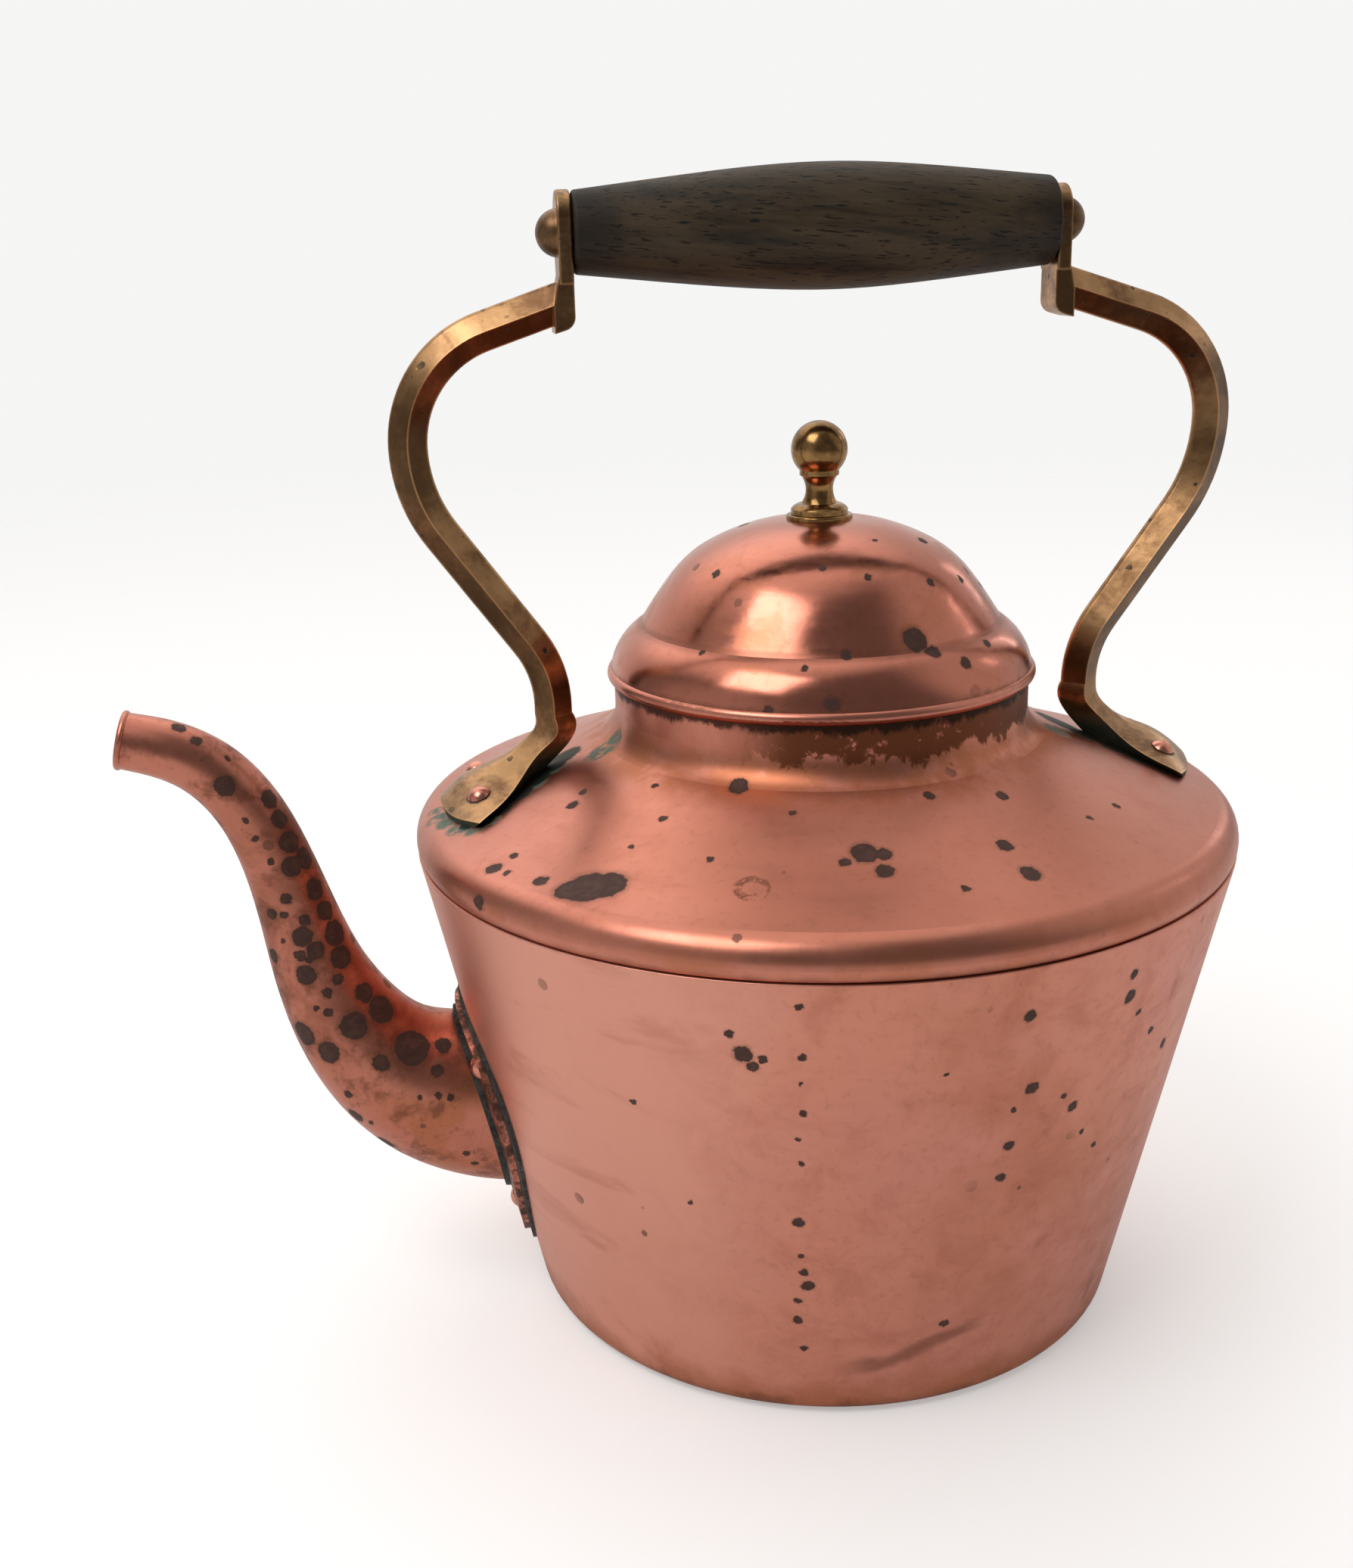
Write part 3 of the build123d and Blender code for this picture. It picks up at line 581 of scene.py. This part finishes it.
def spout_amber(f):
    """Amber heat stain on the spout's belly, near its foot."""
    patch = f.noise(17.0, 4.0, 0.6)
    low = f.times(f.step(f.x, -125.0, -112.0), f.step(f.z, 80.0, 62.0))
    return f.times(f.times(f.step(patch, 0.44, 0.58), low), 0.65), AMBER, 0.36


def spout_front(f):
    """Brown oxide on the swan neck's middle, thinner towards the mouth and the foot."""
    patch = f.noise(14.0, 5.0, 0.65, warp=0.8)
    middle = f.times(f.step(f.z, 60.0, 84.0), f.step(f.z, 150.0, 128.0))
    return f.times(f.times(f.step(patch, 0.30, 0.62), middle), 0.55), RUSSET, 0.42


def spout_brown(f):
    """Brown clouds all along."""
    patch = f.noise(9.0, 5.0, 0.7)
    return f.times(f.step(patch, 0.48, 0.66), 0.7), BROWN, 0.5


def plate_black(f):
    """Black oxide over most of the plate."""
    patch = f.noise(6.0, 5.0, 0.7)
    return f.times(f.step(patch, 0.40, 0.56), 0.85), OXIDE, 0.5


# ---------------------------------------------------------------- other metals and wood

def edge_wear(f, radius):
    """1 on the sharp edges of a part."""
    node = f.tree.nodes.new("ShaderNodeBevel")
    node.samples = 4
    node.inputs["Radius"].default_value = radius / 1000.0
    geometry = f.tree.nodes.new("ShaderNodeNewGeometry")
    same = f.vector("DOT_PRODUCT", node.outputs[0], geometry.outputs["Normal"])
    return f.step(same, 0.995, 0.93)


def brass(name, light, dark, amount, polish, pits=0.12, crud_and_shade=(), wear=0.8, film_and_shade=None):
    """Patinated brass: brown film worn through on the edges, pitted and stained.

    amount is how much of the metal the film covers; the extra masks work like copper's stain masks,
    the pads' painted shade among them; the last mask picks the sides darkened by brown film and painted
    shade.
    """
    f = Finish(name)
    film = f.noise(15.0, 5.0, 0.65, warp=0.5)
    fine = f.noise(1.8, 4.0, 0.65)
    handled = f.noise(6.5, 3.0, 0.6, warp=1.0)
    covered = f.plus(f.times(film, 0.75), f.times(fine, 0.25))
    cover = f.step(covered, 0.62 - amount * 0.35, 0.80 - amount * 0.3)
    shaded = tuple(c * 0.82 for c in light)
    bright = tuple(c * 1.35 for c in light)
    color = f.mix(f.step(f.noise(8.0, 3.0), 0.4, 0.62), light, shaded)
    color = f.mix(f.times(cover, 0.85), color, dark)
    # Front and back faces of the bars: brown film and painted shade
    if film_and_shade is not None:
        color = f.mix(film_and_shade(f), color, SHADED_BRASS_FILM)
    color = f.mix(f.times(edge_wear(f, 0.7), wear), color, bright)
    roughness = f.plus(polish, f.times(f.math("SUBTRACT", film, 0.45), 0.30))
    roughness = f.plus(roughness, f.times(f.math("SUBTRACT", handled, 0.5), 0.14))
    pitted = f.times(f.specks(2.6, pits, 0.7, f.ragged(0.7, 1.0)), f.step(f.noise(14.0, 3.0), 0.47, 0.60))
    dirt = f.times(f.step(f.noise(5.0, 5.0, 0.75), 0.62, 0.74), 0.6)
    color = f.mix(dirt, color, BRASS_DIRT)
    color = f.mix(f.times(pitted, 0.9), color, CRUST_AND_SHADOW)
    metallic = f.blend(f.most(pitted, dirt), 1.0, 0.55)
    # Dirt and bloom, and the pads' low side faces painted as shade
    for make in crud_and_shade:
        mask, stain, stain_roughness = make(f)
        color = f.mix(mask, color, stain)
        roughness = f.blend(mask, roughness, stain_roughness)
        metallic = f.blend(mask, metallic, 0.2)
    normal = f.bump(f.noise(9.0, 3.0), 0.22, 0.6)
    normal = f.bump(fine, 0.03, 0.6, normal)
    normal = f.bump(f.without(pitted), 0.12, 0.8, normal)
    return f.finish(color, metallic, roughness, normal)


def rivet_outline(f):
    """Dark line on a pad around its rivets."""
    side = f.math("ABSOLUTE", f.x)
    front = f.math("ABSOLUTE", f.y)
    away = f.vector("DISTANCE", f.join(side, front, f.z), PAD_RIVET)
    line = f.plus(away, f.times(f.noise(1.5, 3.0), 1.2))
    return f.times(f.step(line, 4.4, 3.7), 0.85), CRUST_AND_SHADOW, 0.6


def pad_side_shade(f):
    """Painted shade: dark green-black low on the side faces of the pads."""
    low = f.step(f.z, 152.0, 146.0)
    steep = f.step(f.facing_z, 0.35, 0.05)
    return f.times(f.times(low, steep), 0.9), SHADOW_GREEN, 0.7


def bar_film_and_shade(f):
    """Brown film and painted shade on the bars' faces turned front and back, not on their tops."""
    side = f.step(f.math("ABSOLUTE", f.facing_y), 0.30, 0.75)
    level = f.step(f.facing_z, 0.55, 0.15)
    high = f.step(f.z, 150.0, 168.0)
    patch = f.step(f.noise(13.0, 4.0, 0.65), 0.34, 0.60)
    return f.times(f.times(f.times(side, level), high), f.blend(patch, 0.66, 0.94))


def eye_green(f):
    """Green-grey bloom in the corners of the eyes."""
    high = f.step(f.z, HEEL_TOP_Z, HEEL_TOP_Z + 6.0)
    patch = f.step(f.noise(4.0, 5.0, 0.7), 0.47, 0.62)
    return f.times(f.times(high, patch), 0.45), BRASS_BLOOM, 0.6


def wood(name):
    """Dark weathered hardwood: streaks and open pores that run slightly askew along the grip."""
    f = Finish(name)
    slant = f.plus(f.z, f.times(f.x, 0.10))
    point = f.join(f.x, f.y, slant)
    streak = f.noise(3.0, 5.0, 0.6, stretch=(11, 1, 1), point=point, warp=0.3)
    band = f.noise(9.0, 3.0, 0.5, stretch=(7, 1, 1), point=point, warp=0.5)
    pore = f.noise(0.62, 2.0, 0.5, stretch=(8.5, 1, 1), point=point)
    fibre = f.noise(0.45, 2.0, 0.6, stretch=(40, 1, 1), point=point)
    color = f.mix(f.step(streak, 0.34, 0.68), WOOD_DARK, WOOD_PALE)
    color = f.mix(f.times(f.step(band, 0.42, 0.66), 0.6), color, WOOD_BAND)
    color = f.mix(f.times(f.step(fibre, 0.48, 0.62), 0.35), color, WOOD_FIBRE)
    open_pore = f.step(pore, 0.60, 0.67)
    color = f.mix(f.times(open_pore, 0.9), color, WOOD_PORE)
    ends = f.step(f.math("ABSOLUTE", f.x), 44.0, 57.0)
    color = f.mix(f.times(ends, 0.62), color, WOOD_ENDS)
    grime = f.step(f.noise(26.0, 4.0, 0.6), 0.50, 0.66)
    color = f.mix(f.times(grime, 0.5), color, WOOD_GRIME)
    roughness = f.plus(0.42, f.times(streak, 0.28))
    normal = f.bump(streak, 0.14, 0.8)
    normal = f.bump(f.without(open_pore), 0.25, 0.9, normal)
    normal = f.bump(fibre, 0.05, 0.5, normal)
    f.put(f.shader.inputs["Specular IOR Level"], 0.30)
    return f.finish(color, 0.0, roughness, normal)


def solder(name, glint):
    """Lumpy blackened solder with grey crumbs where the metal shows."""
    f = Finish(name)
    lumps = f.noise(2.6, 5.0, 0.7)
    crumbs = f.times(f.step(f.noise(1.3, 4.0, 0.7), 0.60, 0.70), f.step(f.noise(9.0, 3.0), 0.46, 0.60))
    color = f.mix(f.step(lumps, 0.38, 0.62), SOLDER_BLACK, SOLDER_GREY)
    color = f.mix(f.times(f.step(f.noise(12.0, 3.0), 0.50, 0.62), 0.7), color, SOLDER_OLIVE)
    color = f.mix(f.times(crumbs, glint), color, SOLDER_BRIGHT)
    roughness = f.blend(crumbs, 0.55, 0.32)
    metallic = f.blend(crumbs, 0.35, 1.0)
    normal = f.bump(lumps, 0.7, 1.0)
    normal = f.bump(f.noise(0.9, 3.0, 0.7), 0.16, 0.8, normal)
    return f.finish(color, metallic, roughness, normal)


def tin(name):
    """Tinned steel with brown stains."""
    f = Finish(name)
    patch = f.noise(5.0, 5.0, 0.65)
    color = f.mix(f.step(patch, 0.38, 0.64), STEEL_TIN, STEEL_STAIN)
    normal = f.bump(f.noise(1.5, 3.0), 0.04, 0.7)
    return f.finish(color, 1.0, f.plus(0.30, f.times(patch, 0.3)), normal)


# ---------------------------------------------------------------- finishes on the nodes

def give(material, *names):
    for name in names:
        slots = nodes[name].material_slots
        if not slots:
            nodes[name].data.materials.append(material)
        for slot in slots:
            slot.material = material


def finish_pan():
    spots = from_front("body_pan", resized(PAN_SPOTS, PAN_SPOT_SHARE))
    spots += from_behind("body_pan", scattered(4, 16, (-85, 85), (8, 118), (0.8, 3.2)))
    stains_and_shades = (pan_lit_side, pan_smears, scorched_foot, foot_grime, pan_streak, under_skirt_shade)
    give(copper("copper_pan", spots, tone=0.05, polish=0.42, speck_share=0.10, stains_and_shades=stains_and_shades,
                lined=pan_lining), "body_pan")


def finish_shoulder():
    spots = from_above("shoulder", SHOULDER_SPOTS)
    spots += from_above("shoulder", scattered(9, 14, (-95, 95), (20, 96), (0.8, 3.4)))
    stains_and_shades = (roll_tarnish, root_stain, rim_underside_shade, neck_stain, bead_shadow, green_bloom,
              pad_gap_shadow, ring_mark)
    give(copper("copper_shoulder", spots, tone=0.70, polish=0.33, speck_share=0.08, stains_and_shades=stains_and_shades,
                lined=shoulder_lining), "shoulder")


def finish_lid():
    spots = from_above("lid_dome", LID_SPOTS)
    spots += from_above("lid_dome", scattered(3, 9, (-45, 45), (6, 48), (0.7, 2.0)))
    give(copper("copper_lid", spots, tone=0.95, polish=0.20, speck_share=0.10,
                stains_and_shades=(lid_clouds, dome_crease_shade, bead_groove_shade), lined=lid_lining), "lid_dome")
    give(copper("copper_bead", spots[:4], tone=0.60, polish=0.30, speck_share=0.10,
                stains_and_shades=(lid_clouds,)), "lid_bead", "lid_collar")


def finish_spout():
    spots = from_front("spout", resized(SPOUT_SPOTS, SPOUT_SPOT_SHARE))
    back_spots = [(x + 1, z - 2, size * 0.9) for x, z, size in SPOUT_SPOTS[::3]]
    spots += from_behind("spout", back_spots)
    stains_and_shades = (spout_front, spout_amber, spout_brown, spout_back)
    give(copper("copper_spout", spots, tone=0.90, polish=0.33, speck_share=0.34, stains_and_shades=stains_and_shades), "spout")

    plate_spots = [(Vector((-96, 24, 60)), 2.0), (Vector((-92, -25, 44)), 1.6)]
    give(copper("copper_plate", plate_spots, tone=0.50, polish=0.38, speck_share=0.25,
                stains_and_shades=(spout_brown, plate_black)), "spout_plate")
    give(copper("copper_rivets", plate_spots, polish=0.26, speck_share=0.05),
         "spout_rivets", "rivets_back", "rivets_spout")
    give(solder("solder_bed", 0.8), "spout_solder_bed")
    give(solder("solder_seam", 0.6), "spout_seam")


def finish_fittings():
    give(brass("brass_brackets", BRASS, BRASS_FILM, 0.50, 0.30, pits=0.30,
               crud_and_shade=(eye_green, rivet_outline, pad_side_shade), film_and_shade=bar_film_and_shade),
         "bracket_back", "bracket_spout")
    give(brass("brass_rod", ROD_BRASS, ROD_FILM, 0.60, 0.36, pits=0.20), "handle_rod")
    give(brass("brass_knob", KNOB_BRASS, KNOB_FILM, 0.55, 0.18, wear=0.3), "knob", "knob_washer")
    give(wood("wood_grip"), "handle_grip")
    give(tin("tinned_steel"), "knob_back_washer", "knob_nut")


# ---------------------------------------------------------------- studio

def add_camera():
    east, north = cos(AZIMUTH), sin(AZIMUTH)
    level, rise = cos(ELEVATION), sin(ELEVATION)
    back = Vector((north * level, -east * level, rise))
    right = Vector((east, north, 0.0))
    up = Vector((-north * rise, east * rise, level))
    right, up = cos(ROLL) * right + sin(ROLL) * up, cos(ROLL) * up - sin(ROLL) * right
    data = bpy.data.cameras.new("camera")
    data.sensor_fit = "AUTO"
    data.sensor_width = 36.0
    data.lens = LENS
    data.clip_start = 0.01
    camera = bpy.data.objects.new("camera", data)
    rotation = Matrix((right, up, back)).transposed().to_4x4()
    place = Matrix.Translation(TARGET + back * DISTANCE)
    camera.matrix_world = place @ rotation
    bpy.context.scene.collection.objects.link(camera)
    bpy.context.scene.camera = camera


def add_floor():
    """Pale floor, lit a little from below like a photographer's table; it fades out far away."""
    sides = 96
    turns = [2 * pi * i / sides for i in range(sides)]
    ring = [(FLOOR_RADIUS * cos(turn), FLOOR_RADIUS * sin(turn), -FLOOR_DROP) for turn in turns]
    mesh = bpy.data.meshes.new("floor")
    mesh.from_pydata(ring, [], [tuple(range(sides))])
    floor = bpy.data.objects.new("floor", mesh)
    f = Finish("floor_paint")
    tint = f.mix(f.noise(700.0, 2.0), (0.87, 0.87, 0.87), (0.89, 0.89, 0.89))
    seen = f.tree.nodes.new("ShaderNodeLightPath").outputs["Is Camera Ray"]
    tint = f.mix(seen, (FLOOR_TONE,) * 3, tint)
    f.put(f.shader.inputs["Emission Color"], FLOOR_TINT)
    f.put(f.shader.inputs["Emission Strength"], f.blend(seen, FLOOR_LIFT, FLOOR_GLOW))
    away = f.vector("DISTANCE", f.point, (0, 0, 0))
    f.put(f.shader.inputs["Alpha"], f.step(away, 2100.0, 700.0))
    mesh.materials.append(f.finish(tint, 0.0, 0.8))
    bpy.context.scene.collection.objects.link(floor)


def softbox(name, direction, distance, size, radiance):
    """Rectangular light in a direction from the kettle, turned to its middle."""
    data = bpy.data.lights.new(name, "AREA")
    data.shape = "RECTANGLE"
    data.size, data.size_y = size
    data.energy = radiance * pi * size[0] * size[1]
    light = bpy.data.objects.new(name, data)
    light.location = LIGHT_AIM + Vector(direction).normalized() * distance
    light.rotation_euler = (LIGHT_AIM - light.location).to_track_quat("-Z", "Y").to_euler()
    bpy.context.scene.collection.objects.link(light)


def room_level(tree):
    """Strength of the room's light in each direction: its own level and its bright sides."""
    coordinates = tree.nodes.new("ShaderNodeTexCoord")
    level = None
    for direction, full, faded, strength in ROOM:
        lean = tree.nodes.new("ShaderNodeVectorMath")
        lean.operation = "DOT_PRODUCT"
        lean.inputs[1].default_value = Vector(direction).normalized()
        tree.links.new(coordinates.outputs["Generated"], lean.inputs[0])
        side = tree.nodes.new("ShaderNodeMapRange")
        side.interpolation_type = "SMOOTHSTEP"
        for socket, value in zip(side.inputs[1:5], (faded, full, 0.0, strength)):
            socket.default_value = value
        tree.links.new(lean.outputs["Value"], side.inputs[0])
        total = tree.nodes.new("ShaderNodeMath")
        tree.links.new(side.outputs[0], total.inputs[0])
        if level is None:
            total.inputs[1].default_value = ROOM_LEVEL
        else:
            tree.links.new(level, total.inputs[1])
        level = total.outputs[0]
    return level


def add_room():
    """A dim room with bright sides, behind a plain pale background that only the camera sees."""
    world = bpy.data.worlds.new("studio")
    world.use_nodes = True
    tree = world.node_tree
    room = tree.nodes["Background"]
    room.inputs["Color"].default_value = (*DAYLIGHT, 1.0)
    tree.links.new(room_level(tree), room.inputs["Strength"])
    plain = tree.nodes.new("ShaderNodeBackground")
    plain.inputs["Color"].default_value = (*PAPER, 1.0)
    plain.inputs["Strength"].default_value = BACKGROUND
    path = tree.nodes.new("ShaderNodeLightPath")
    choose = tree.nodes.new("ShaderNodeMixShader")
    tree.links.new(path.outputs["Is Camera Ray"], choose.inputs[0])
    tree.links.new(room.outputs[0], choose.inputs[1])
    tree.links.new(plain.outputs[0], choose.inputs[2])
    tree.links.new(choose.outputs[0], tree.nodes["World Output"].inputs[0])
    bpy.context.scene.world = world


bpy.context.scene.view_settings.view_transform = "Standard"
add_camera()
add_floor()
add_room()
for softbox_values in SOFTBOXES:
    softbox(*softbox_values)
for apply_finish in (finish_pan, finish_shoulder, finish_lid, finish_spout, finish_fittings):
    apply_finish()
